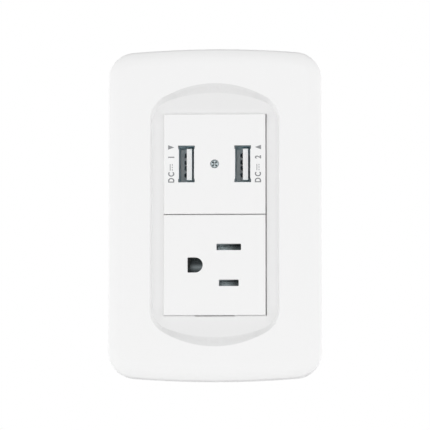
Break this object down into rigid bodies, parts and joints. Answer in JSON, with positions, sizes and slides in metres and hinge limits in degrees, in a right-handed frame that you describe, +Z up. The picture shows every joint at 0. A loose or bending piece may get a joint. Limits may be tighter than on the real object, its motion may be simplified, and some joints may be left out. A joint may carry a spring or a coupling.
{
  "type": "usb wall socket",
  "caption": "Flush wall plate with a shallow eye-shaped dish, holding a USB charger insert above an earthed mains outlet insert on a screw-fixed support frame.",
  "frame": {"origin": "middle of the plate on the wall plane, halfway between the two box screws", "axes": "+Y into the wall, along the box screws; +Z up the plate; the front looks along -Y"},
  "size_m": [0.0754, 0.039, 0.118],
  "materials": {
    "cover_plastic": "moulded, fine satin gloss",
    "insert_plastic": "moulded, fine satin gloss",
    "frame_plastic": "moulded, matt",
    "housing_plastic": "moulded, matt",
    "shell_steel": "nickel plated sheet",
    "socket_plastic": "moulded, matt",
    "spring_contact": "nickel flash on a copper alloy",
    "contact_brass": "stamped, folded and tin plated sheet",
    "zinc_screw": "zinc plated",
    "circuit_board": "green solder mask",
    "ferrite": "sintered, dark grey",
    "black_plastic": "moulded, matt",
    "winding_tape": "yellow polyester tape",
    "capacitor_sleeve": "shrunk sleeve on an aluminium can",
    "safety_epoxy": "dipped epoxy",
    "fuse_ceramic": "painted ceramic"
  },
  "bodies": {
    "root": {"cover_plate": "cover_plastic", "support_frame": "frame_plastic", "box_screws": "zinc_screw", "usb_front_cover": "insert_plastic", "usb_rear_housing": "housing_plastic", "usb_cover_screw": "zinc_screw", "usb_shell_left": "shell_steel", "usb_shell_right": "shell_steel", "usb_insulator_left": "socket_plastic", "usb_insulator_right": "socket_plastic", "usb_contacts_left": "spring_contact", "usb_contacts_right": "spring_contact", "usb_socket_board": "circuit_board", "usb_power_board": "circuit_board", "board_link_pins": "spring_contact", "board_link_header": "black_plastic", "transformer_core": "ferrite", "transformer_bobbin": "black_plastic", "transformer_winding": "winding_tape", "bulk_capacitors": "capacitor_sleeve", "output_capacitors": "capacitor_sleeve", "safety_capacitor": "safety_epoxy", "fuse_resistor": "fuse_ceramic", "bridge_rectifier": "black_plastic", "controller_chip": "black_plastic", "usb_terminal_plates": "contact_brass", "usb_terminal_screws": "zinc_screw", "outlet_front_cover": "insert_plastic", "outlet_rear_housing": "housing_plastic", "neutral_contact": "contact_brass", "line_contact": "contact_brass", "earth_contact": "contact_brass", "neutral_terminal_screw": "zinc_screw", "line_terminal_screw": "zinc_screw", "earth_terminal_screw": "zinc_screw", "outlet_housing_screws": "zinc_screw"}
  },
  "joints": []
}
